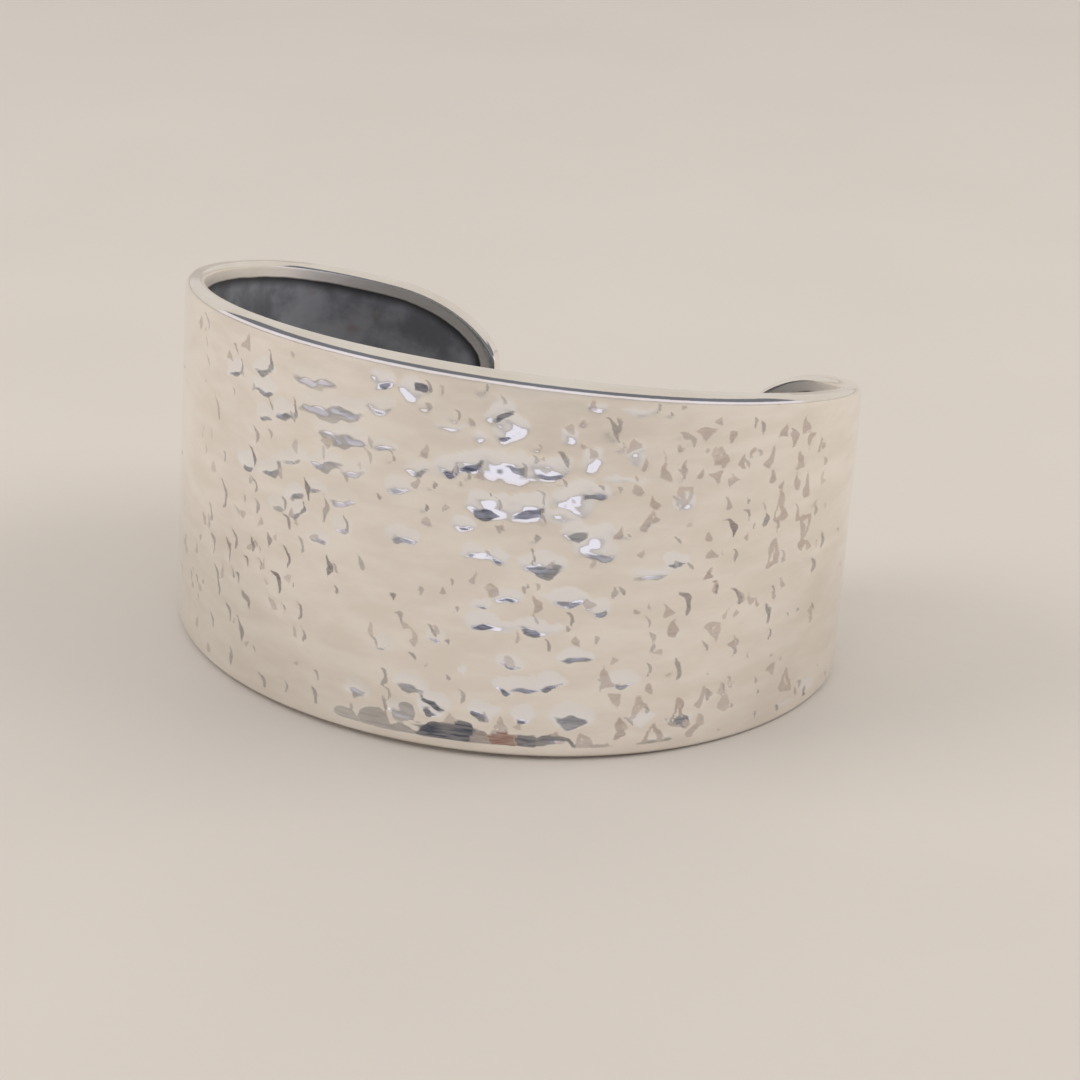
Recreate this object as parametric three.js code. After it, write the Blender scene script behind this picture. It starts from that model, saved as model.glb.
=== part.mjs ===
// Cuff bracelet: one silver blank, widest at the front and rounded at both ends, bent round an open oval.
// Millimetres. It stands on its lower edge, front towards -Y, opening towards +Y, +Z up.
// The origin is on the floor, under the middle of the bounding box.
import * as THREE from 'three';

// Oval followed by the outer face, as half axes
const HALF_WIDTH = 32.5;
const FRONT_DEPTH = 27.6;
const BACK_DEPTH = 19.6;
const BACK_SQUARENESS = 2.2; // exponent of the back half, where 2 is a plain ellipse
const END_ANGLE = THREE.MathUtils.degToRad(156.2); // from the front round to each end

// The flat blank
const FRONT_BAND = 33.6; // width of the metal at the front
const END_BAND = 18; // width it would have at the ends with square corners
const TAPER_POWER = 2.18; // above 1 the band stays wide round the front
const CORNER_LENGTH = 10.7; // of the elliptical corners, along the band
const CORNER_DROP = 5.2; // of the same corners, across the band
const WALL = 1.8;
const ARRIS_RADIUS = 0.5; // rounding of every edge, which leaves a flat rim between

// Facets
const EDGE_STEPS = 48; // from the front to one corner
const CORNER_STEPS = 10;
const ARRIS_STEPS = 3;

const MAX_LEAN = THREE.MathUtils.degToRad(20);
const LEAN_TRIALS = 60;

/** Open oval in plan, from the left end round the front to the right end. */
class OpenOval extends THREE.Curve {
  getPoint(t, target = new THREE.Vector3()) {
    const angle = END_ANGLE * (2 * t - 1);
    const front = Math.cos(angle) > 0;
    const power = front ? 1 : 2 / BACK_SQUARENESS;
    const depth = front ? FRONT_DEPTH : BACK_DEPTH;
    const across = Math.sign(Math.sin(angle)) * Math.abs(Math.sin(angle)) ** power;
    const forward = Math.sign(Math.cos(angle)) * Math.abs(Math.cos(angle)) ** power;
    return target.set(HALF_WIDTH * across, -depth * forward, 0);
  }
}

const oval = new OpenOval();
oval.arcLengthDivisions = 4000;
const halfLength = oval.getLength() / 2;

/** Half the band's width at a distance from the front, before its corners are rounded. */
function taper(distance) {
  return (FRONT_BAND - (FRONT_BAND - END_BAND) * (distance / halfLength) ** TAPER_POWER) / 2;
}

function taperSlope(distance) {
  const lost = (FRONT_BAND - END_BAND) / 2;
  return (-lost * TAPER_POWER * (distance / halfLength) ** (TAPER_POWER - 1)) / halfLength;
}

/** A point of the flat blank's upper edge with its outward direction; turn runs 0 to 90 degrees at a corner. */
function edgePoint(distance, turn) {
  const height = taper(distance) - CORNER_DROP * (1 - Math.cos(turn));
  const run = CORNER_LENGTH * Math.cos(turn);
  const rise = taperSlope(distance) * run - CORNER_DROP * Math.sin(turn);
  const outward = new THREE.Vector2(-rise, run).normalize();
  return { at: new THREE.Vector2(distance, height), outward };
}

/** The whole upper edge of the flat blank, from the left end to the right end. */
function upperEdge() {
  const shoulder = halfLength - CORNER_LENGTH;
  const right = [];
  for (let i = 0; i < EDGE_STEPS; i += 1) {
    right.push(edgePoint((shoulder * i) / EDGE_STEPS, 0));
  }
  for (let i = 0; i <= CORNER_STEPS; i += 1) {
    const turn = (Math.PI / 2) * (i / CORNER_STEPS);
    right.push(edgePoint(shoulder + CORNER_LENGTH * Math.sin(turn), turn));
  }
  const mirror = new THREE.Vector2(-1, 1);
  const left = right.slice(1).reverse().map(({ at, outward }) => ({
    at: at.clone().multiply(mirror),
    outward: outward.clone().multiply(mirror),
  }));
  return [...left, ...right];
}

/** Section of the rim, outer face to inner face: depth into the wall and setback from the blank's outline. */
function rimProfile() {
  const outer = [];
  for (let i = 0; i <= ARRIS_STEPS; i += 1) {
    const turn = (Math.PI / 2) * (i / ARRIS_STEPS);
    outer.push({
      depth: ARRIS_RADIUS * (1 - Math.cos(turn)),
      setback: ARRIS_RADIUS * (1 - Math.sin(turn)),
    });
  }
  const inner = outer.toReversed().map(({ depth, setback }) => ({ depth: WALL - depth, setback }));
  return [...outer, ...inner];
}

/** Bends a point of the flat blank round the oval. */
function bend(along, across, depth) {
  const u = THREE.MathUtils.clamp(0.5 + along / (2 * halfLength), 0, 1);
  const point = oval.getPointAt(u);
  const tangent = oval.getTangentAt(u);
  return new THREE.Vector3(point.x - tangent.y * depth, point.y + tangent.x * depth, across);
}

/** Closed ring of points round the band at one place: over the upper rim, then back under the lower one. */
function sectionRing({ at, outward }, profile) {
  const upper = profile.map(({ depth, setback }) => {
    const inset = at.clone().addScaledVector(outward, -setback);
    return bend(inset.x, inset.y, depth);
  });
  const lower = upper.toReversed().map((point) => new THREE.Vector3(point.x, point.y, -point.z));
  return [...upper, ...lower];
}

/** The closed body, level, with its mid-height at z = 0. */
function bandGeometry() {
  const profile = rimProfile();
  const rings = upperEdge().map((place) => sectionRing(place, profile));
  const size = rings[0].length;
  const corners = [];
  const quad = (a, b, c, d) => corners.push(a, b, c, a, c, d);

  for (let i = 0; i + 1 < rings.length; i += 1) {
    for (let k = 0; k < size; k += 1) {
      const next = (k + 1) % size;
      quad(i * size + k, (i + 1) * size + k, (i + 1) * size + next, i * size + next);
    }
  }
  const last = (rings.length - 1) * size;
  for (let k = 0; k + 1 < profile.length; k += 1) {
    const under = size - 1 - k;
    quad(k, k + 1, under - 1, under);
    quad(last + k, last + under, last + under - 1, last + k + 1);
  }

  const geometry = new THREE.BufferGeometry().setFromPoints(rings.flat());
  geometry.setIndex(corners);
  return geometry;
}

/** Centre of mass of a closed body. */
function balancePoint(geometry) {
  const position = geometry.getAttribute('position');
  const index = geometry.getIndex();
  const corner = (i) => new THREE.Vector3().fromBufferAttribute(position, index.getX(i));
  const moment = new THREE.Vector3();
  let volume = 0;
  for (let i = 0; i < index.count; i += 3) {
    const [a, b, c] = [corner(i), corner(i + 1), corner(i + 2)];
    const wedge = new THREE.Vector3().crossVectors(b, c).dot(a) / 6;
    moment.addScaledVector(a.add(b).add(c), wedge / 4);
    volume += wedge;
  }
  return moment.divideScalar(volume);
}

/** The backward lean at which the cuff, rocking on its curved lower rim, holds its weight lowest. */
function restingLean(geometry) {
  const balance = balancePoint(geometry);
  const position = geometry.getAttribute('position');
  const weightHeight = (lean) => {
    const height = (y, z) => z * Math.cos(lean) - y * Math.sin(lean);
    let floor = Infinity;
    for (let i = 0; i < position.count; i += 1) {
      floor = Math.min(floor, height(position.getY(i), position.getZ(i)));
    }
    return height(balance.y, balance.z) - floor;
  };
  let low = 0;
  let high = MAX_LEAN;
  for (let i = 0; i < LEAN_TRIALS; i += 1) {
    const third = (high - low) / 3;
    if (weightHeight(low + third) < weightHeight(high - third)) {
      high -= third;
    } else {
      low += third;
    }
  }
  return (low + high) / 2;
}

function cuff() {
  const geometry = bandGeometry();
  geometry.rotateX(-restingLean(geometry));
  geometry.computeBoundingBox();
  const { min, max } = geometry.boundingBox;
  geometry.translate(-(min.x + max.x) / 2, -(min.y + max.y) / 2, -min.z);
  geometry.computeVertexNormals();
  const silver = new THREE.MeshStandardMaterial({
    name: 'silver',
    color: 0xd9d2c6,
    metalness: 1,
    roughness: 0.25,
  });
  const mesh = new THREE.Mesh(geometry, silver);
  mesh.name = 'cuff';
  return mesh;
}

const group = new THREE.Group();
group.name = 'cuff_bracelet';
group.add(cuff());
export default group;
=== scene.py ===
"""Hammered silver cuff bracelet, modelled round its CAD solid, on a pale floor in soft studio light.

Metres, +Z up, the cuff's front towards -Y. The blank is described flat, as distance along the band from
the middle of the front and height above the band's centre line, and then bent round the oval.
"""

import math

import bpy
import numpy as np
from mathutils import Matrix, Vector


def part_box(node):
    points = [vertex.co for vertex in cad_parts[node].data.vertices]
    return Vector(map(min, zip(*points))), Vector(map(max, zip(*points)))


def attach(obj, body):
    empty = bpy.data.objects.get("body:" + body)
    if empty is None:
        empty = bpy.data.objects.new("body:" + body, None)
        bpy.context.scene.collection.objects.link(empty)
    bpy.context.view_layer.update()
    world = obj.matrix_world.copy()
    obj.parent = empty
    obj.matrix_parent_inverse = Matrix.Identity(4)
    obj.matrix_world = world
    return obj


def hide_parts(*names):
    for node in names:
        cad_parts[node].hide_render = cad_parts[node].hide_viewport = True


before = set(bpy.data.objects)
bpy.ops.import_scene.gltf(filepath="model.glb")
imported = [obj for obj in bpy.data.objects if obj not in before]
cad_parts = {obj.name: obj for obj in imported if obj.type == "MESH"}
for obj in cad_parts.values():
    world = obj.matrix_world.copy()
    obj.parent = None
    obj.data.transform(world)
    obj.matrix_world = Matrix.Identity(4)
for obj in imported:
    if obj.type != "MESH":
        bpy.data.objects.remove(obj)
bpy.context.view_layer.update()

MM = 0.001

# The oval followed by the outer face, as half axes, and the lean at which the cuff rests
HALF_WIDTH = 0.0325
FRONT_DEPTH = 0.0276
BACK_DEPTH = 0.0196
BACK_SQUARENESS = 2.2
END_ANGLE = math.radians(156.2)
LEAN = math.radians(6.606)

# The flat blank
FRONT_BAND = 0.0336
END_BAND = 0.018
TAPER_POWER = 2.18
CORNER_LENGTH = 0.0107
CORNER_DROP = 0.0052
WALL = 0.0018
ARRIS_RADIUS = 0.0005
ROLL_OFF = 0.0009  # how far the worn outer arris reaches onto the face
POLISHED_LIP = 0.00136  # depth of the bright strip inside the rim, above the oxidised face

# Mesh density
FINE_FROM, FINE_TO = -0.022, 0.0475  # the stretch that holds the charted marks
FINE_STEP = 0.0002
COARSE_STEP = 0.0005
CORNER_COLUMNS = 18
OUTER_ROWS = 152
INNER_ROWS = 8
OUTER_ARRIS_STEPS = 5
INNER_ARRIS_STEPS = 3
CREASE = 0.00004  # width of the strip that keeps the rim's flat from shading round

# Strikes whose right-hand wall shows as an upright crescent of painted dark reflection and tarnish, in millimetres
# on the flat blank:
# along, up, height, lean in degrees, tarnish and painted dark reflection 0 to 1
CRESCENTS = (
    (-18.8, 14.4, 1.9, 45, 0.3),
    (-18.3, 11.2, 1.4, 30, 0.2),
    (-16.2, 7.7, 2.6, 28, 0.3),
    (-17.1, 5.0, 1.3, 15, 0.2),
    (-14.3, 3.4, 1.3, 10, 0.3),
    (-14.4, 0.3, 3.3, 18, 0.45),
    (-16.8, -2.3, 1.9, 15, 0.35),
    (-16.1, -5.0, 1.9, 18, 0.35),
    (-15.2, -8.0, 2.8, 25, 0.45),
    (-16.0, -12.2, 1.7, 25, 0.3),
    (-9.7, 6.8, 1.8, 30, 0.35),
    (-9.7, 2.4, 1.6, 35, 0.45),
    (-9.1, 0.4, 1.4, 15, 0.35),
    (-7.8, 10.0, 1.0, 30, 0.4),
    (-7.6, 7.3, 1.0, 30, 0.3),
    (-12.4, -3.4, 2.3, 22, 0.55),
    (-9.6, -3.2, 1.8, 25, 0.6),
    (-13.1, -4.7, 1.9, 25, 0.55),
    (-10.3, -4.8, 1.0, 35, 0.5),
    (-8.4, -4.6, 1.1, 40, 0.5),
    (-7.3, -2.2, 1.5, 25, 0.55),
    (-5.0, -2.9, 2.0, 15, 0.7),
    (-6.0, -5.5, 2.2, 28, 0.8),
    (-12.4, -6.5, 1.2, 35, 0.4),
    (-11.4, -6.8, 1.4, 30, 0.45),
    (-10.1, -8.5, 2.1, 48, 0.45),
    (-5.2, -7.6, 0.9, 25, 0.4),
    (-3.2, -7.5, 1.8, 20, 0.5),
    (-12.9, -10.3, 1.7, 28, 0.45),
    (-11.0, -11.4, 2.5, 25, 0.55),
    (-8.9, -12.4, 1.1, 35, 0.3),
    (-12.3, -14.4, 2.0, 12, 0.35),
    (-7.6, -15.2, 1.8, 28, 0.35),
    (-2.6, -9.6, 1.4, 20, 0.35),
    (-5.1, 0.2, 1.6, 30, 0.5),
    (-3.4, -1.3, 1.8, 12, 0.3),
    (-0.3, -2.5, 2.2, 12, 0.75),
    (2.9, -1.5, 1.6, 18, 0.3),
    (-0.8, 2.3, 2.4, 3, 0.35),
    (4.7, 4.5, 0.9, 30, 0.45),
    (8.8, 4.6, 0.9, 35, 0.5),
    (0.8, -4.6, 0.9, 30, 0.5),
    (6.4, -3.8, 1.0, 35, 0.65),
    (-1.3, -14.4, 2.0, 18, 0.35),
    (5.8, -11.2, 2.0, 12, 0.45),
    (6.1, -13.6, 1.6, 18, 0.45),
    (11.6, -1.6, 0.9, 35, 0.35),
    (14.3, 6.5, 0.7, 30, 0.5),
    (20.2, 9.9, 1.6, 25, 0.45),
    (21.4, -3.5, 1.4, 35, 0.5),
    (23.9, 13.0, 1.9, 35, 0.4),
    (34.9, 4.0, 2.1, 28, 0.7),
    (34.0, -1.1, 1.0, 25, 0.7),
    (36.0, -2.0, 2.1, 28, 0.5),
    (31.4, -2.3, 2.3, 22, 0.6),
    (38.4, 4.4, 1.9, 5, 0.55),
    (39.8, -4.3, 1.9, 18, 0.55),
    (40.1, -6.0, 1.1, 5, 0.45),
    (31.0, -8.0, 2.2, 12, 0.45),
    (28.5, -8.0, 1.2, 5, 0.35),
    (46.3, 1.0, 1.6, 8, 0.4),
    (45.0, -0.8, 1.7, 5, 0.4),
    (49.8, -12.2, 1.2, 20, 0.3),
    (-12.0, 12.3, 1.6, 15, 0.5),
    (-7.9, 13.6, 2.0, 15, 0.6),
    (-4.7, 10.3, 1.9, 10, 0.6),
    (-9.9, 4.9, 2.1, 25, 0.75),
    (-6.3, 4.8, 1.0, 30, 0.5),
    (-5.7, 1.8, 1.3, 15, 0.4),
    (-3.0, 3.8, 2.2, 20, 0.8),
    (-3.3, 1.8, 1.5, 5, 0.7),
    (1.3, 1.6, 1.5, 10, 0.45),
)

# Strikes whose lower wall shows as a lens of painted dark reflection and tarnish, with a painted highlight round
# it, in millimetres on the flat blank:
# along, up, length, height, turn in degrees, tarnish and painted dark reflection 0 to 1
LENSES = (
    (-12.8, 11.4, 1.8, 0.5, 25, 0.55),
    (-8.7, 12.5, 2.3, 0.5, 5, 0.5),
    (-8.4, 10.8, 2.4, 0.55, 0, 0.5),
    (-8.2, 8.5, 1.5, 0.45, 0, 0.4),
    (-5.8, 9.3, 2.4, 0.6, 3, 0.5),
    (-10.6, 3.6, 1.4, 0.6, 12, 0.65),
    (-7.2, 4.0, 2.5, 0.6, 22, 0.45),
    (-4.6, 5.7, 2.7, 0.3, 17, 0.35),
    (-6.2, 1.0, 1.2, 0.35, 10, 0.3),
    (-4.0, 2.6, 1.4, 0.5, 30, 0.5),
    (-3.8, 1.1, 1.4, 0.5, 20, 0.45),
    (-2.7, 13.0, 4.4, 0.8, 0, 0.15),
    (-0.8, 10.8, 6.6, 0.9, 5, 0.22),
    (1.2, 11.2, 2.4, 0.6, 3, 0.35),
    (4.2, 12.0, 2.0, 0.3, 8, 0.3),
    (0.6, 8.8, 4.6, 0.9, 2, 0.25),
    (1.4, 8.8, 2.6, 0.6, 0, 0.35),
    (4.9, 8.7, 1.1, 0.3, 5, 0.35),
    (4.6, 14.2, 0.9, 0.7, 20, 0.75),
    (7.7, 14.4, 0.9, 0.9, 90, 0.85),
    (8.1, 7.3, 1.5, 0.35, 12, 0.45),
    (-1.0, 6.1, 2.9, 0.6, 12, 0.35),
    (1.8, 6.1, 2.4, 0.5, 5, 0.18),
    (6.3, 5.5, 1.7, 0.35, 0, 0.45),
    (-1.8, 3.6, 1.3, 0.4, 8, 0.35),
    (0.9, 3.3, 2.6, 0.5, 2, 0.18),
    (1.2, 0.9, 1.2, 0.4, 8, 0.3),
    (7.1, 1.3, 2.1, 0.45, 4, 0.5),
    (-1.2, -0.7, 1.4, 0.4, 15, 0.4),
    (10.3, -6.9, 1.1, 0.25, -5, 0.4),
    (5.6, -8.5, 1.0, 0.25, 8, 0.3),
    (8.3, -11.6, 2.1, 0.5, -3, 0.5),
    (3.3, -13.2, 1.2, 0.6, 0, 0.3),
    (7.5, -14.2, 1.6, 0.8, 0, 0.3),
    (10.8, 7.9, 1.7, 0.6, 3, 0.95),
    (12.5, 8.6, 2.1, 0.55, 27, 0.95),
    (15.1, 13.1, 1.8, 0.55, 35, 0.85),
    (15.4, 11.4, 1.4, 0.4, -3, 0.85),
    (16.4, 8.8, 1.7, 0.65, -5, 0.6),
    (19.2, 8.5, 2.6, 0.5, 10, 0.75),
    (14.0, 4.7, 2.1, 0.8, -2, 0.9),
    (17.7, 5.2, 2.7, 0.9, 24, 0.7),
    (12.4, 3.2, 0.9, 0.35, 12, 0.8),
    (13.2, 0.9, 0.7, 0.3, 0, 0.7),
    (15.1, 0.8, 0.9, 0.35, -10, 0.7),
    (19.1, 0.4, 2.9, 0.85, 0, 0.6),
    (16.5, -2.6, 1.4, 0.4, 8, 0.8),
    (14.2, -3.5, 0.7, 0.25, 0, 0.7),
    (20.9, -2.2, 1.2, 0.35, -3, 0.7),
    (22.0, -2.4, 1.3, 0.5, 8, 0.65),
    (14.5, -5.1, 1.9, 0.5, 5, 0.95),
    (18.5, -5.1, 1.6, 0.6, 3, 0.65),
    (24.0, -3.0, 1.0, 0.5, 18, 0.6),
    (16.9, -8.4, 1.1, 0.3, 3, 0.75),
    (22.3, -7.4, 2.1, 0.4, 2, 0.7),
    (16.5, -10.5, 1.2, 0.45, -5, 0.9),
    (18.3, -10.3, 2.2, 0.45, 6, 0.65),
    (20.4, -9.9, 1.8, 0.5, 12, 0.7),
    (10.4, -12.7, 1.9, 0.6, -12, 0.95),
    (10.2, -13.5, 1.2, 0.5, -15, 0.9),
    (14.4, -13.0, 1.3, 0.7, -20, 0.85),
    (18.2, -13.0, 1.2, 0.5, 0, 0.75),
    (22.3, -12.8, 2.8, 0.9, 0, 0.55),
    (23.0, 6.9, 1.7, 0.55, 5, 0.7),
    (21.8, 3.4, 1.2, 0.6, 15, 0.6),
    (23.7, 1.8, 2.3, 0.5, 8, 0.5),
    (26.4, -9.4, 1.6, 0.45, -5, 0.55),
    (30.3, 1.1, 1.2, 0.4, 5, 0.65),
    (28.3, 0.1, 2.8, 0.4, 5, 0.2),
    (43.7, -14.1, 3.2, 0.35, 10, 0.8),
    (46.0, -12.9, 0.9, 0.5, -40, 0.6),
)

# Three-sided chips left between strikes, point up, painted dark along one side and the foot, in millimetres on the
# flat blank:
# along, up, width, height, turn in degrees, tarnish and painted dark reflection 0 to 1
CHIPS = (
    (-11.2, 14.7, 1.3, 1.8, -10, 0.35),
    (12.1, -13.6, 1.4, 1.2, 0, 0.3),
    (16.4, -13.7, 1.6, 1.6, 0, 0.3),
    (18.8, -2.6, 0.9, 1.3, 20, 0.4),
    (22.1, -5.6, 0.6, 0.9, 0, 0.35),
    (22.5, 10.7, 0.9, 0.8, 10, 0.35),
    (25.8, 11.4, 1.4, 0.9, 15, 0.3),
    (26.9, 9.8, 0.6, 0.8, -10, 0.3),
    (28.5, 9.8, 0.7, 2.8, 8, 0.35),
    (30.4, 9.6, 0.6, 1.1, -15, 0.45),
    (29.7, 11.1, 0.5, 0.6, 30, 0.4),
    (31.7, 9.0, 0.5, 1.1, 5, 0.4),
    (32.0, 12.2, 1.6, 0.9, 180, 0.35),
    (34.5, 11.9, 1.2, 1.1, 170, 0.4),
    (33.5, 10.4, 1.6, 1.3, 0, 0.3),
    (35.6, 9.9, 0.8, 1.5, -15, 0.4),
    (36.7, 10.6, 0.7, 0.6, 0, 0.4),
    (33.2, 8.5, 1.7, 1.0, 180, 0.35),
    (35.0, 8.1, 1.1, 0.5, 160, 0.3),
    (39.7, 12.0, 1.1, 1.4, 0, 0.4),
    (38.4, 9.9, 1.0, 2.0, -20, 0.35),
    (38.8, 8.1, 0.6, 1.1, 0, 0.45),
    (40.8, 10.9, 1.0, 1.4, 170, 0.4),
    (42.3, 12.2, 0.9, 1.5, 5, 0.4),
    (43.1, 10.5, 0.9, 1.5, 170, 0.35),
    (41.8, 9.2, 1.1, 1.7, 15, 0.35),
    (44.4, 10.1, 0.6, 1.6, 0, 0.35),
    (40.0, 7.4, 0.6, 1.1, -15, 0.4),
    (41.8, 7.3, 0.7, 1.5, 0, 0.35),
    (43.1, 6.7, 0.9, 2.6, 10, 0.4),
    (34.4, 6.4, 0.7, 1.1, 10, 0.35),
    (40.1, 5.4, 1.7, 2.8, 5, 0.35),
    (42.1, 4.5, 0.7, 1.8, 15, 0.35),
    (30.4, 6.8, 1.6, 2.2, 170, 0.25),
    (27.5, 5.0, 0.8, 2.0, -10, 0.3),
    (25.2, 3.9, 0.7, 1.3, 0, 0.4),
    (32.8, 3.6, 0.6, 0.9, 0, 0.4),
    (43.3, 2.6, 1.9, 2.8, 170, 0.35),
    (39.8, 1.4, 1.6, 2.7, 0, 0.35),
    (43.3, 1.1, 1.1, 1.0, 180, 0.4),
    (33.4, 0.2, 1.3, 0.9, -5, 0.6),
    (41.4, -1.9, 0.5, 0.8, 0, 0.35),
    (28.3, -2.5, 0.5, 0.6, 0, 0.3),
    (30.5, -4.4, 0.8, 1.7, -10, 0.5),
    (34.3, -5.2, 1.5, 2.0, 190, 0.25),
    (24.8, -8.5, 1.1, 2.1, 10, 0.35),
    (28.6, -9.7, 0.7, 0.9, 0, 0.4),
    (25.8, -10.9, 1.3, 1.5, 180, 0.3),
    (27.8, -11.8, 1.4, 2.1, 150, 0.3),
    (31.6, -12.1, 2.1, 2.6, 0, 0.55),
    (33.6, -10.8, 0.9, 2.0, -25, 0.3),
    (35.9, -11.5, 1.0, 1.8, -10, 0.2),
    (42.8, -10.6, 1.7, 2.5, 0, 0.3),
    (44.4, -12.1, 0.6, 1.1, 0, 0.35),
    (40.9, -9.4, 1.0, 1.2, -30, 0.25),
    (26.5, -13.3, 1.1, 1.8, 5, 0.5),
    (21.0, -14.4, 1.5, 1.3, 0, 0.4),
    (23.4, -14.5, 1.9, 1.2, 10, 0.35),
    (25.4, -14.8, 0.8, 0.8, 0, 0.4),
    (29.5, -13.9, 2.4, 2.2, -5, 0.45),
    (33.3, -13.7, 1.0, 2.0, -50, 0.35),
    (35.5, -14.4, 0.5, 0.8, 20, 0.6),
)

# Shallow slopes with a painted highlight that run together round the dark strikes: along, up, length, height, turn
GLEAMS = (
    (15.6, 11.9, 2.6, 2.0, -15),
    (12.0, 8.4, 5.2, 1.2, 18),
    (15.5, 8.6, 5.0, 2.0, 0),
    (18.9, 8.8, 3.8, 1.6, 8),
    (14.4, 5.3, 3.6, 1.9, 0),
    (17.7, 5.2, 3.6, 1.9, 10),
    (20.3, 4.9, 3.0, 0.8, -8),
    (21.6, 6.4, 3.8, 2.2, 20),
    (22.4, 9.8, 1.8, 1.6, -20),
    (25.2, 8.4, 3.6, 0.4, -3),
    (20.4, 11.8, 1.4, 1.0, -10),
    (22.6, 14.5, 2.0, 0.7, -5),
    (26.0, 14.2, 2.4, 0.4, 0),
    (26.3, 10.4, 1.4, 1.3, 20),
    (23.2, 2.8, 3.4, 2.2, 12),
    (14.0, 1.1, 3.2, 1.0, 0),
    (18.8, 0.6, 3.6, 1.3, 0),
    (15.6, -5.0, 5.4, 0.8, 3),
    (19.6, -4.9, 3.0, 0.6, 6),
    (21.2, -2.2, 4.0, 0.8, 0),
    (28.6, 0.4, 3.4, 0.6, 6),
    (30.6, 6.4, 1.8, 1.0, 25),
    (14.9, -12.8, 2.8, 1.0, 0),
    (18.2, -12.9, 1.8, 0.9, 0),
    (22.2, -12.9, 3.4, 1.2, 0),
    (10.8, 11.6, 2.6, 0.4, 5),
    (13.2, 10.9, 1.0, 0.7, 0),
    (28.2, -12.6, 2.2, 0.7, 5),
    (31.6, -13.0, 2.6, 0.7, 0),
    (12.9, -9.3, 0.8, 0.4, 0),
)

# The long dark patch along the lower edge: along, up, length, height, turn, darkness, warmth
BLOTCHES = (
    (11.5, -15.2, 4.6, 2.0, -4, 0.95, 0.0),
    (13.4, -14.6, 3.0, 1.0, -22, 0.95, 0.0),
    (14.9, -15.3, 2.0, 1.7, 5, 0.6, 0.3),
    (16.6, -15.1, 2.8, 1.8, 8, 0.85, 1.0),
    (17.8, 5.0, 1.9, 0.7, 24, 0.8, 1.0),
    (18.5, -14.9, 2.2, 1.2, 10, 0.85, 0.0),
    (20.5, -14.7, 3.2, 0.9, 6, 0.7, 0.0),
    (22.3, -14.8, 1.6, 0.5, -35, 0.6, 0.0),
    (7.6, -15.6, 3.2, 0.9, -6, 0.35, 0.0),
    (5.1, -15.0, 2.4, 2.0, 10, 0.3, 0.1),
    (2.6, -15.4, 2.8, 1.3, -8, 0.2, 0.0),
    (8.1, -13.7, 1.6, 1.3, 0, 0.3, 0.1),
    (10.2, -15.8, 2.2, 0.7, -10, 0.9, 0.0),
    (12.6, -16.0, 3.4, 0.7, -3, 0.95, 0.0),
    (24.6, -15.2, 2.4, 0.8, 10, 0.35, 0.2),
    (29.3, -14.9, 2.6, 0.8, 12, 0.5, 0.1),
    (31.8, -12.9, 1.6, 0.9, 0, 0.65, 0.0),
)

# Small uncharted nicks: along from, along to, count, tarnish and painted dark reflection
NICKS = ((-60, -20, 110, 0.35), (-20, 8, 70, 0.35), (8, 24, 70, 0.45), (24, 46, 120, 0.4), (46, 60, 20, 0.2))
OFF_FACE = {"dent": 0, "dark_mark_depth": -1, "tarnish_and_painted_reflection": 0, "warmth": 0, "painted_sheen": 0}  # away from the outer face
CHIP_ROUNDING = 0.09
GLEAM_SLOPE = 0.13
RIPPLES = 18
RIPPLE_STEEPNESS = 0.0008


def smooth(value, low, high):
    """0 below low, 1 above high, with an S-shaped rise between."""
    t = np.clip((value - low) / (high - low), 0, 1)
    return t * t * (3 - 2 * t)


class Oval:
    """The open oval by distance along it from the middle of the front."""

    SAMPLES = 20001

    def __init__(self):
        angle = np.linspace(-END_ANGLE, END_ANGLE, self.SAMPLES)
        sine, cosine = np.sin(angle), np.cos(angle)
        power = np.where(cosine > 0, 1, 2 / BACK_SQUARENESS)
        depth = np.where(cosine > 0, FRONT_DEPTH, BACK_DEPTH)
        self.x = HALF_WIDTH * np.sign(sine) * np.abs(sine) ** power
        self.y = -depth * np.sign(cosine) * np.abs(cosine) ** power
        run = np.concatenate([[0], np.cumsum(np.hypot(np.diff(self.x), np.diff(self.y)))])
        self.along = run - run[-1] / 2
        self.half_length = run[-1] / 2
        slope_x, slope_y = np.gradient(self.x, self.along), np.gradient(self.y, self.along)
        length = np.hypot(slope_x, slope_y)
        self.tangent_x, self.tangent_y = slope_x / length, slope_y / length

    def bend(self, along, up, depth):
        """Points of the wall, level, at a distance along, a height and a depth into the metal."""
        x, y, tx, ty = (
            np.interp(along, self.along, values)
            for values in (self.x, self.y, self.tangent_x, self.tangent_y)
        )
        return np.stack(np.broadcast_arrays(x - ty * depth, y + tx * depth, up), axis=-1)


def taper(distance, half_length):
    return (FRONT_BAND - (FRONT_BAND - END_BAND) * (distance / half_length) ** TAPER_POWER) / 2


def upper_edge(half_length):
    """The blank's upper edge from left to right: along, up and the outward direction's two parts."""
    shoulder = half_length - CORNER_LENGTH
    fine = np.arange(FINE_FROM, FINE_TO, FINE_STEP)
    left = np.linspace(-shoulder, FINE_FROM, round((shoulder + FINE_FROM) / COARSE_STEP), endpoint=False)
    right = np.linspace(FINE_TO, shoulder, round((shoulder - FINE_TO) / COARSE_STEP))
    turn = np.linspace(0, math.pi / 2, CORNER_COLUMNS + 1)[1:]
    corner = shoulder + CORNER_LENGTH * np.sin(turn)
    along = np.concatenate([-corner[::-1], left, fine, right, corner])
    turns = np.concatenate([turn[::-1], np.zeros(len(left) + len(fine) + len(right)), turn])

    distance = np.abs(along)
    up = taper(distance, half_length) - CORNER_DROP * (1 - np.cos(turns))
    lost = (FRONT_BAND - END_BAND) / 2
    slope = -lost * TAPER_POWER * (distance / half_length) ** (TAPER_POWER - 1) / half_length
    run = CORNER_LENGTH * np.cos(turns)
    rise = slope * run - CORNER_DROP * np.sin(turns)
    length = np.hypot(run, rise)
    return along, up, -rise / length * np.sign(along), run / length


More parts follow.
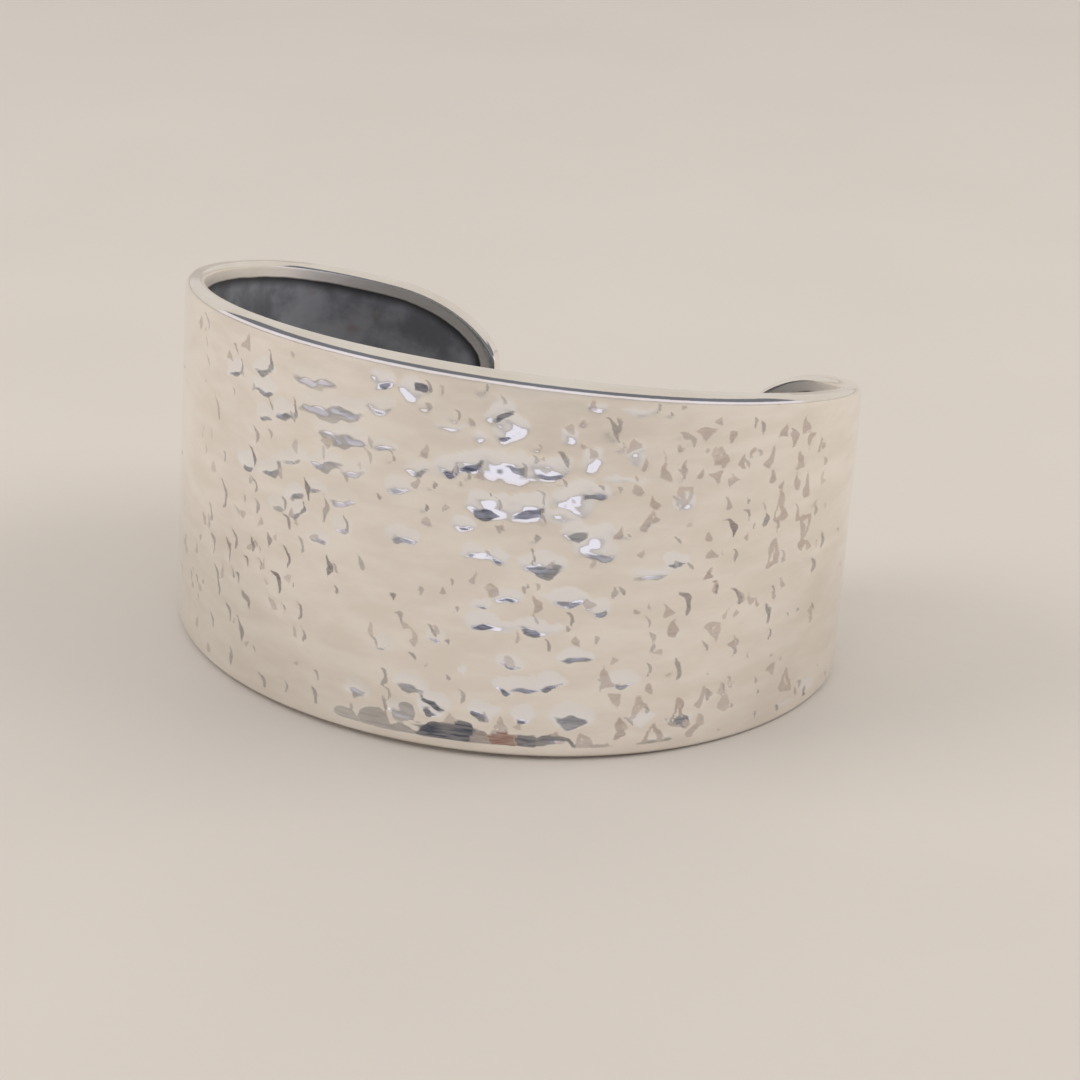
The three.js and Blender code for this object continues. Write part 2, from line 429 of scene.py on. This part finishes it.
def outline(edge):
    """Closed outline of the blank: upper edge, right end, lower edge, left end, with outward directions."""
    along, up, out_along, out_up = edge
    end_rows = np.linspace(up[-1], -up[-1], OUTER_ROWS + 1)[1:-1]
    still = np.zeros_like(end_rows)
    side = np.ones_like(end_rows)
    return np.stack(
        [
            np.concatenate([along, side * along[-1], along[::-1], side * along[0]]),
            np.concatenate([up, end_rows, -up[::-1], end_rows[::-1]]),
            np.concatenate([out_along, side, out_along[::-1], -side]),
            np.concatenate([out_up, still, -out_up[::-1], still]),
        ]
    )


def arris(reach, steps):
    """Depth and setback of an edge's rounding, with a last point that keeps the flat beside it flat."""
    turn = np.linspace(0, math.pi / 2, steps + 1)
    depth = np.append(ARRIS_RADIUS * (1 - np.cos(turn)), ARRIS_RADIUS + CREASE)
    setback = np.append(reach * (1 - np.sin(turn)), 0)
    return depth, setback


def rim_profile():
    """Depth into the wall and setback from the outline, from the outer face over the rim to the inner face."""
    outer_depth, outer_setback = arris(ROLL_OFF, OUTER_ARRIS_STEPS)
    inner_depth, inner_setback = arris(ARRIS_RADIUS, INNER_ARRIS_STEPS)
    depths = np.concatenate([outer_depth, WALL - inner_depth[::-1]])
    return depths, np.concatenate([outer_setback, inner_setback[::-1]])


class Surface:
    """What the hammer and the years left on the outer face, with painted dark reflections and painted highlights,
    over a grid of points of the flat blank.

    Lengths are millimetres. A dark mark, of painted dark reflection and tarnish, is kept as the distance inside
    its outline, which stays sharp between the points of the grid, with the strength and warmth of the nearest
    mark.
    """

    def __init__(self, along, up):
        self.along, self.up = along / MM, up / MM
        self.sway_along, self.sway_up = self.sway(0.7), self.sway(2.9)
        self.dent = np.zeros_like(along)
        self.dark_mark_depth = np.full_like(along, -1.0)
        self.tarnish_and_painted_reflection = np.zeros_like(along)
        self.warmth = np.zeros_like(along)
        self.painted_sheen = np.zeros_like(along)

    def sway(self, phase):
        """Unevenness given to every mark's outline."""
        waves = ((0.11, 1.9, 1.3, 1), (0.11, -1.1, 2.7, 2), (0.05, 4.3, -3.1, 3), (0.05, 3.4, 5.2, 0))
        return sum(
            size * np.sin(across * self.along + rise * self.up + turns * phase)
            for size, across, rise, turns in waves
        )

    def near(self, along, up, reach, turn):
        """The part of the grid within reach of a mark, and its own turned coordinates there."""
        columns = np.flatnonzero(np.abs(self.along[0] - along) < reach)
        part = np.s_[:, columns[0] : columns[-1] + 1]
        cosine, sine = math.cos(math.radians(turn)), math.sin(math.radians(turn))
        run = self.along[part] + self.sway_along[part] - along
        rise = self.up[part] + self.sway_up[part] - up
        return part, run * cosine + rise * sine, rise * cosine - run * sine

    def press(self, part, p, q, depth, skew_p=0.0, skew_q=0.0):
        """A bowl within p and q of 1, deeper towards the sides that skew names; gives back how far inside the bowl
        each point lies.
        """
        inside = np.clip(1 - p * p - q * q, 0, 1)
        self.dent[part] = np.maximum(self.dent[part], depth * inside * (1 + skew_p * p + skew_q * q))
        return inside

    # Keeps the nearest dark mark's outline, strength and warmth: painted dark reflection and tarnish.
    def darken(self, part, depth, tarnish_and_painted_reflection, warmth):
        nearer = depth > self.dark_mark_depth[part]
        for values, new in ((self.dark_mark_depth, depth), (self.tarnish_and_painted_reflection, tarnish_and_painted_reflection), (self.warmth, warmth)):
            values[part] = np.where(nearer, new, values[part])

    def crescent(self, along, up, height, lean, tarnish_and_painted_reflection):
        """A tall strike seen by its right-hand wall."""
        part, x, y = self.near(along, up, height + 1.5, lean)
        half = height / 2
        v = np.clip(y / half, -1, 1)
        bulge = 0.2 * height * (0.6 - v * v)
        thickness = (0.1 + 0.055 * height) * np.sqrt(1 - v * v) * (1 - 0.35 * v)
        # Right-hand wall painted dark: painted dark reflection and tarnish.
        self.darken(part, thickness - np.hypot(x - bulge, y - v * half), tarnish_and_painted_reflection, 0.25)
        half_long = 0.25 * height + 0.4
        p = (x - 0.1 * height) / half_long + 0.8
        self.press(part, p, y / (1.15 * half), 0.035 + 0.03 * tarnish_and_painted_reflection, 0.8)

    def lens(self, along, up, length, height, turn, tarnish_and_painted_reflection):
        """A wide strike seen by its lower wall, like a smile."""
        part, x, y = self.near(along, up, length + 1.5, turn)
        p = x / (length / 2)
        sag = y + 0.3 * height * (1 - p * p)
        # Lower wall painted dark: painted dark reflection and tarnish.
        self.darken(part, (1 - np.hypot(p, sag / (height / 2))) * height / 2, tarnish_and_painted_reflection, 0.0)
        half_long, half_high = length / 2 + 0.7, 0.7 * height + 0.5
        inside = self.press(part, x / half_long, y / half_high - 0.6, 0.12 * half_high)
        # Painted highlight round the strike, stronger where its painted dark is stronger.
        self.painted_sheen[part] = np.maximum(self.painted_sheen[part], smooth(inside, 0.0, 0.3) * min(1, 1.4 * tarnish_and_painted_reflection))

    def chip(self, along, up, width, height, turn, tarnish_and_painted_reflection):
        """A three-sided hollow between strikes, painted dark along its right side and its foot: painted dark
        reflection and tarnish.
        """
        part, x, y = self.near(along, up, width + height + 0.5, turn)
        slope = math.atan2(width / 2, height)
        inset = width / 2 * (0.5 - y / height)
        sides = (inset - x) * math.cos(slope), (inset + x) * math.cos(slope), y + height / 2
        depth = -CHIP_ROUNDING * np.log(sum(np.exp(-side / CHIP_ROUNDING) for side in sides)) + 0.04
        wall = 0.34 + 0.36 * x / width - 0.25 * y / height
        # Right side and foot painted dark: painted dark reflection and tarnish.
        self.darken(part, np.minimum(depth, wall - depth), tarnish_and_painted_reflection, 0.6)
        self.press(part, x / (0.62 * width), y / (0.6 * height), 0.03 + 0.03 * min(width, height), 0.5, -0.3)

    def blotch(self, along, up, length, height, turn, tarnish_and_painted_reflection, warmth):
        """A ragged dark patch that has no strike of its own."""
        part, x, y = self.near(along, up, length, turn)
        wobble = 0.16 * np.sin(5.1 * x / length + along) + 0.12 * np.sin(2.3 * x - 3.7 * y + up)
        depth = (1 + wobble - np.hypot(x / length, y / height) * 2) * height / 2
        self.darken(part, depth, tarnish_and_painted_reflection, warmth)
        self.dent[part] = np.maximum(self.dent[part], 0.05 * np.clip(depth / height, 0, 1))

    def gleam(self, along, up, length, height, turn):
        """A ragged shallow slope that turns the metal up towards the light, with a painted highlight over it."""
        part, x, y = self.near(along, up, length, turn)
        below_top = 0.4 * height - y
        fall = np.where(below_top > 0, below_top / height, -below_top / (0.4 * height))
        ramp = np.clip(1 - np.hypot(x / (0.6 * length), fall), 0, 1)
        self.dent[part] = np.maximum(self.dent[part], GLEAM_SLOPE * height * ramp)
        self.painted_sheen[part] = np.maximum(self.painted_sheen[part], smooth(ramp, 0.0, 0.2))

    def ripple(self, rng):
        """Gentle planishing waves under the strikes."""
        for _ in range(RIPPLES):
            heading, phase = rng.uniform(0, math.pi), rng.uniform(0, 2 * math.pi)
            wavelength = rng.uniform(3, 14)
            run = self.along * math.cos(heading) + self.up * math.sin(heading)
            self.dent += RIPPLE_STEEPNESS * wavelength * np.sin(2 * math.pi * run / wavelength + phase)


def hammer(along, up, edge_distance):
    """The outer face's dents, tarnish, painted dark reflections and painted highlights by name, at every grid
    point, fading out just short of the rim.
    """
    surface = Surface(along, up)
    for row in CRESCENTS:
        surface.crescent(*row)
    for row in LENSES:
        surface.lens(*row)
    for row in CHIPS:
        surface.chip(*row)
    for row in GLEAMS:
        surface.gleam(*row)
    for row in BLOTCHES:
        surface.blotch(*row)
    rng = np.random.default_rng(11)
    for low, high, count, tarnish_and_painted_reflection in NICKS:
        for _ in range(count):
            place = rng.uniform(low, high), rng.uniform(-15.5, 15.5)
            strength = tarnish_and_painted_reflection * rng.uniform(0.4, 1)
            if rng.random() < 0.5:
                surface.crescent(*place, rng.uniform(0.5, 1.4), rng.uniform(5, 40), strength)
            else:
                size = rng.uniform(0.35, 0.9)
                surface.chip(*place, size, size * rng.uniform(0.8, 1.8), rng.uniform(-40, 40), strength)
    surface.ripple(rng)
    fade = smooth(edge_distance, 0.0, 0.0009)
    return {
        "dent": surface.dent * fade,
        "dark_mark_depth": np.minimum(surface.dark_mark_depth, edge_distance / MM - 0.1),
        "tarnish_and_painted_reflection": surface.tarnish_and_painted_reflection,
        "warmth": surface.warmth,
        "painted_sheen": surface.painted_sheen * fade,
    }


def face_grid(rows, edge, setback):
    """Points of a face between its lower and upper edges: along and up, a row for each height."""
    along, up, out_along, out_up = edge
    share = np.linspace(1, -1, rows + 1)[:, None]
    return np.broadcast_to(along - out_along * setback, (rows + 1, len(along))), share * (up - out_up * setback)


def edge_distance(along, up, edge, half_length):
    """Distance of face points from the blank's outline."""
    _, edge_up, _, out_up = edge
    return np.minimum((edge_up - np.abs(up)) * out_up, half_length - np.abs(along))


def boundary_indices(rows, columns, first, ring_columns, ring_rows):
    """Index grid of a face whose border is a ring of the rim and whose inside follows from first."""
    grid = np.empty((rows + 1, columns), dtype=int)
    step = ring_rows // rows
    grid[0] = ring_columns[0]
    grid[-1] = ring_columns[1][::-1]
    inner_rows = np.arange(1, rows)
    grid[1:-1, -1] = ring_columns[2][inner_rows * step - 1]
    grid[1:-1, 0] = ring_columns[3][::-1][inner_rows * step - 1]
    grid[1:-1, 1:-1] = first + np.arange((rows - 1) * (columns - 2)).reshape(rows - 1, columns - 2)
    return grid


def quads(grid):
    return np.stack([grid[:-1, :-1], grid[1:, :-1], grid[1:, 1:], grid[:-1, 1:]], axis=-1).reshape(-1, 4)


def cuff_mesh():
    """Closed mesh of the cuff with its marks, and its point attributes by name."""
    oval = Oval()
    edge = upper_edge(oval.half_length)
    columns = len(edge[0])
    along, up, out_along, out_up = outline(edge)
    depths, setbacks = rim_profile()

    rings = [
        oval.bend(along - out_along * setback, up - out_up * setback, depth)
        for depth, setback in zip(depths, setbacks)
    ]
    ring_size = len(along)
    last_ring = (len(rings) - 1) * ring_size

    outer_along, outer_up = face_grid(OUTER_ROWS, edge, ROLL_OFF)
    outer_edge = edge_distance(outer_along, outer_up, edge, oval.half_length)
    finish = hammer(outer_along, outer_up, outer_edge - ROLL_OFF)
    outer = oval.bend(outer_along, outer_up, finish["dent"] * MM)

    inner_along, inner_up = face_grid(INNER_ROWS, edge, ARRIS_RADIUS)
    inner_edge = edge_distance(inner_along, inner_up, edge, oval.half_length)
    inner = oval.bend(inner_along, inner_up, WALL)

    inside = np.s_[1:-1, 1:-1]
    points = np.concatenate([*rings, outer[inside].reshape(-1, 3), inner[inside].reshape(-1, 3)])
    outer_first = len(rings) * ring_size
    inner_first = outer_first + (OUTER_ROWS - 1) * (columns - 2)

    def ring_parts(start):
        ends = np.cumsum([0, columns, OUTER_ROWS - 1, columns, OUTER_ROWS - 1]) + start
        top, right, bottom, left = (np.arange(a, b) for a, b in zip(ends, ends[1:]))
        return top, bottom, right, left

    outer_grid = boundary_indices(OUTER_ROWS, columns, outer_first, ring_parts(0), OUTER_ROWS)
    inner_grid = boundary_indices(INNER_ROWS, columns, inner_first, ring_parts(last_ring), OUTER_ROWS)

    ring = np.arange(ring_size)
    following = np.roll(ring, -1)
    faces = list(map(tuple, quads(outer_grid)))
    for k in range(len(rings) - 1):
        here, there = k * ring_size, (k + 1) * ring_size
        faces += zip(here + ring, here + following, there + following, there + ring)
    faces += map(tuple, quads(inner_grid[:, 1:-1])[:, ::-1])
    faces += end_strips(inner_grid, ring_parts(last_ring))

    attributes = {
        name: point_values(len(points), outer_grid, values, OFF_FACE[name])
        for name, values in finish.items()
    }
    attributes["patina_distance"] = point_values(len(points), inner_grid, inner_edge / MM, 0)
    return points, faces, attributes


def end_strips(inner_grid, parts):
    """Faces at the inner face's two ends, where its few rows meet the rim's many."""
    _, _, right, left = parts
    step = OUTER_ROWS // INNER_ROWS
    for row in range(INNER_ROWS):
        between = slice(row * step, (row + 1) * step - 1)
        above, below = inner_grid[row], inner_grid[row + 1]
        yield (above[-1], *right[between], below[-1], below[-2], above[-2])
        yield (above[1], below[1], below[0], *left[::-1][between][::-1], above[0])


def point_values(count, grid, values, elsewhere):
    """Point attribute given on one face of the cuff, and the same everywhere else."""
    result = np.full(count, float(elsewhere))
    result[grid.ravel()] = values.ravel()
    return result


def settle(points):
    """Leans the level cuff back, and moves it where the CAD cuff stands."""
    x, y, z = points.T
    cosine, sine = math.cos(LEAN), math.sin(LEAN)
    leaned = np.stack([x, y * cosine + z * sine, z * cosine - y * sine], axis=-1)
    low, high = (np.array(corner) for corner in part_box("cuff"))
    middle = (leaned.min(axis=0) + leaned.max(axis=0)) / 2
    middle[2] = leaned[:, 2].min()
    target = (low + high) / 2
    target[2] = low[2]
    return leaned + target - middle


def build_cuff():
    points, faces, attributes = cuff_mesh()
    mesh = bpy.data.meshes.new("hammered_cuff")
    mesh.from_pydata(settle(points).tolist(), [], faces)
    mesh.shade_smooth()
    for name, values in attributes.items():
        layer = mesh.attributes.new(name, "FLOAT", "POINT")
        layer.data.foreach_set("value", values.astype(np.float32))
    cuff = bpy.data.objects.new("hammered_cuff", mesh)
    bpy.context.scene.collection.objects.link(cuff)
    mesh.materials.append(silver())
    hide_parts("cuff")
    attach(cuff, "root")
    return cuff


class Nodes:
    """Short calls for making and linking the nodes of one node tree."""

    def __init__(self, tree):
        self.tree = tree

    def add(self, kind, inputs=None, **settings):
        node = self.tree.nodes.new(kind)
        for name, value in settings.items():
            setattr(node, name, value)
        for socket, value in (inputs or {}).items():
            if isinstance(value, bpy.types.NodeSocket):
                self.tree.links.new(value, node.inputs[socket])
            else:
                node.inputs[socket].default_value = value
        return node

    def math(self, operation, a, b=0.0, clamp=False):
        return self.add("ShaderNodeMath", {0: a, 1: b}, operation=operation, use_clamp=clamp).outputs[0]

    def step(self, value, low, high):
        """0 to 1 as value goes from low to high, smoothly."""
        inputs = {"Value": value, "From Min": low, "From Max": high}
        return self.add("ShaderNodeMapRange", inputs, interpolation_type="SMOOTHSTEP").outputs[0]

    def mix(self, factor, a, b):
        node = self.add("ShaderNodeMix", {"Factor": factor}, data_type="RGBA")
        for socket, value in zip((6, 7), (a, b)):
            if isinstance(value, bpy.types.NodeSocket):
                self.tree.links.new(value, node.inputs[socket])
            else:
                node.inputs[socket].default_value = (*value, 1)
        return node.outputs[2]

    def blend(self, factor, a, b):
        """Value between two numbers."""
        return self.add("ShaderNodeMapRange", {"Value": factor, "To Min": a, "To Max": b}).outputs[0]

    def attribute(self, name):
        return self.add("ShaderNodeAttribute", attribute_name=name).outputs["Fac"]

    def noise(self, vector, scale, detail=2.0, roughness=0.5):
        inputs = {"Vector": vector, "Scale": scale, "Detail": detail, "Roughness": roughness}
        return self.add("ShaderNodeTexNoise", inputs).outputs["Fac"]

    def position(self):
        return self.add("ShaderNodeTexCoord").outputs["Object"]

    def stretched(self, vector, scale):
        return self.add("ShaderNodeMapping", {"Vector": vector, "Scale": scale}).outputs[0]


def new_material(name):
    material = bpy.data.materials.new(name)
    material.use_nodes = True
    nodes = Nodes(material.node_tree)
    return material, nodes, material.node_tree.nodes["Principled BSDF"]


def silver():
    """Polished silver with slate tarnish and painted dark reflections in the strikes, painted highlights round
    them, and an oxidised inner face.
    """
    material, nodes, shader = new_material("silver")
    place = nodes.position()

    clouds = nodes.noise(nodes.stretched(place, (0.7, 0.7, 2.2)), 230, 3, 0.6)
    warm = nodes.mix(nodes.step(clouds, 0.3, 0.7), (0.91, 0.86, 0.79), (0.99, 0.955, 0.90))
    # Painted highlight: bluish white on the lens halos and gleam slopes.
    bright = nodes.mix(nodes.attribute("painted_sheen"), warm, (0.98, 0.985, 1.0))
    warmth = nodes.attribute("warmth")
    # Dark marks of painted dark reflection and tarnish: slate through taupe to rosy by warmth.
    taupe = nodes.mix(nodes.step(warmth, 0.0, 0.6), (0.09, 0.105, 0.15), (0.44, 0.345, 0.315))
    slate = nodes.mix(nodes.step(warmth, 0.75, 1.0), taupe, (0.34, 0.185, 0.15))
    streaks = nodes.noise(nodes.stretched(place, (0.35, 0.35, 3)), 1300, 2, 0.6)
    ragged_edge = nodes.blend(streaks, -0.11, 0.15)
    # Sharp ragged outline of the painted dark reflection and tarnish.
    dark_edge = nodes.step(nodes.math("ADD", nodes.attribute("dark_mark_depth"), ragged_edge), -0.05, 0.08)
    strength = nodes.math("POWER", nodes.attribute("tarnish_and_painted_reflection"), 0.55)
    uneven = nodes.math("MULTIPLY", strength, nodes.blend(nodes.step(streaks, 0.35, 0.6), 1.0, 0.78))
    darkened = nodes.math("MULTIPLY", dark_edge, uneven)
    outer = nodes.mix(darkened, bright, slate)

    distance = nodes.attribute("patina_distance")
    ragged = nodes.math("ADD", distance, nodes.math("MULTIPLY", clouds, 0.3))
    patina = nodes.step(ragged, POLISHED_LIP / MM + 0.08, POLISHED_LIP / MM + 0.3)
    blotchy = nodes.step(nodes.noise(place, 190, 4, 0.6), 0.36, 0.66)
    grey = nodes.mix(blotchy, (0.16, 0.17, 0.195), (0.32, 0.34, 0.38))
    rosy = nodes.step(nodes.noise(nodes.stretched(place, (1.3, 1.3, 2.2)), 120, 2), 0.62, 0.8)
    mottled = nodes.mix(rosy, grey, (0.26, 0.20, 0.185))
    # Near black just under the polished lip, fading into the mottled grey further down.
    dark_under_lip = nodes.mix(nodes.step(distance, 1.4, 2.6), (0.03, 0.03, 0.033), mottled)
    colour = nodes.mix(patina, outer, dark_under_lip)
    nodes.tree.links.new(colour, shader.inputs["Base Color"])

    metal = nodes.blend(patina, 1.0, 0.3)
    nodes.tree.links.new(metal, shader.inputs["Metallic"])
    smears = nodes.blend(clouds, 0.04, 0.12)
    satin_lip = nodes.math("MULTIPLY", nodes.step(distance, 0.3, 0.6), 0.35)
    dulled = nodes.math("ADD", smears, satin_lip)
    worn = nodes.math("ADD", dulled, nodes.math("MULTIPLY", darkened, 0.15))
    rough = nodes.add("ShaderNodeMix", {"Factor": patina, "A": worn, "B": 0.5}).outputs[0]
    nodes.tree.links.new(rough, shader.inputs["Roughness"])

    bump = nodes.add("ShaderNodeBump", {"Height": streaks, "Strength": 0.15, "Distance": 0.00002})
    nodes.tree.links.new(bump.outputs[0], shader.inputs["Normal"])
    return material


def floor_material():
    """Pale and finely grained."""
    material, nodes, shader = new_material("pale_floor")
    place = nodes.position()
    cloudy = nodes.noise(place, 30, 1)
    colour = nodes.mix(cloudy, (0.76, 0.715, 0.67), (0.81, 0.765, 0.72))
    nodes.tree.links.new(colour, shader.inputs["Base Color"])
    shader.inputs["Roughness"].default_value = 0.5
    bump = nodes.add("ShaderNodeBump", {"Height": nodes.noise(place, 420, 1), "Strength": 0.2, "Distance": 0.0003})
    nodes.tree.links.new(bump.outputs[0], shader.inputs["Normal"])
    return material


def build_floor():
    size = 3.0
    mesh = bpy.data.meshes.new("floor")
    corners = [(-size, -size, 0), (size, -size, 0), (size, size, 0), (-size, size, 0)]
    mesh.from_pydata(corners, [], [(0, 1, 2, 3)])
    floor = bpy.data.objects.new("floor", mesh)
    bpy.context.scene.collection.objects.link(floor)
    mesh.materials.append(floor_material())


# What the metal mirrors: a bright low window and a dark room above it, all round the front, in a cream
# studio. Each band ends at a height, as the sine of its elevation.
STUDIO_CREAM = (0.66, 0.62, 0.578)
WINDOW = (0.80, 0.765, 0.83)
DARK_ROOM = (0.17, 0.18, 0.21)
SURROUNDINGS = ((0.0, WINDOW), (0.16, WINDOW), (0.23, DARK_ROOM), (0.53, DARK_ROOM), (0.59, STUDIO_CREAM))
MIDDLE_OF_FRONT = 20  # degrees towards +X


def build_world():
    world = bpy.data.worlds.new("soft_studio")
    world.use_nodes = True
    nodes = Nodes(world.node_tree)
    heading = nodes.add("ShaderNodeTexCoord").outputs["Generated"]
    facing = {0: heading, 1: direction(MIDDLE_OF_FRONT, 0)}
    frontness = nodes.add("ShaderNodeVectorMath", facing, operation="DOT_PRODUCT").outputs["Value"]
    height = nodes.add("ShaderNodeSeparateXYZ", {0: heading}).outputs["Z"]
    bands = nodes.add("ShaderNodeValToRGB", {0: height})
    stops = bands.color_ramp.elements
    while len(stops) < len(SURROUNDINGS):
        stops.new(0.5)
    for stop, (position, colour) in zip(stops, SURROUNDINGS):
        stop.position = position
        stop.color = (*colour, 1)
    seen = nodes.mix(nodes.step(frontness, -0.36, -0.28), STUDIO_CREAM, bands.outputs["Color"])
    nodes.tree.links.new(seen, world.node_tree.nodes["Background"].inputs["Color"])
    bpy.context.scene.world = world


def build_lights():
    """Two wide softboxes, one each side of the camera's view."""
    for name, azimuth, power in (("softbox_left", -56, 0.62), ("softbox_right", 124, 0.62)):
        light = bpy.data.lights.new(name, "AREA")
        light.size = 0.3
        light.energy = power
        light.color = (1.0, 0.97, 0.93)
        softbox = bpy.data.objects.new(name, light)
        bpy.context.scene.collection.objects.link(softbox)
        softbox.visible_glossy = False
        softbox.location = direction(azimuth, 42) * 0.5
        aim(softbox, Vector((0, 0, 0)))


def direction(azimuth, elevation):
    """Unit vector, in degrees from the front towards +X and up from the floor."""
    azimuth, elevation = math.radians(azimuth), math.radians(elevation)
    flat = math.cos(elevation)
    return Vector((math.sin(azimuth) * flat, -math.cos(azimuth) * flat, math.sin(elevation)))


def aim(thing, target):
    thing.rotation_euler = (target - thing.location).to_track_quat("-Z", "Y").to_euler()


def build_camera():
    lens = bpy.data.cameras.new("camera")
    lens.sensor_fit = "HORIZONTAL"
    lens.angle = math.radians(21.93)
    lens.clip_start = 0.01
    camera = bpy.data.objects.new("camera", lens)
    bpy.context.scene.collection.objects.link(camera)
    target = Vector((0.00190, 0.00676, 0.00678))
    camera.location = target + direction(33.93, 23.94) * 0.2597
    aim(camera, target)
    bpy.context.scene.camera = camera


def main():
    build_cuff()
    build_floor()
    build_world()
    build_lights()
    build_camera()
    bpy.context.scene.view_settings.view_transform = "Standard"


main()
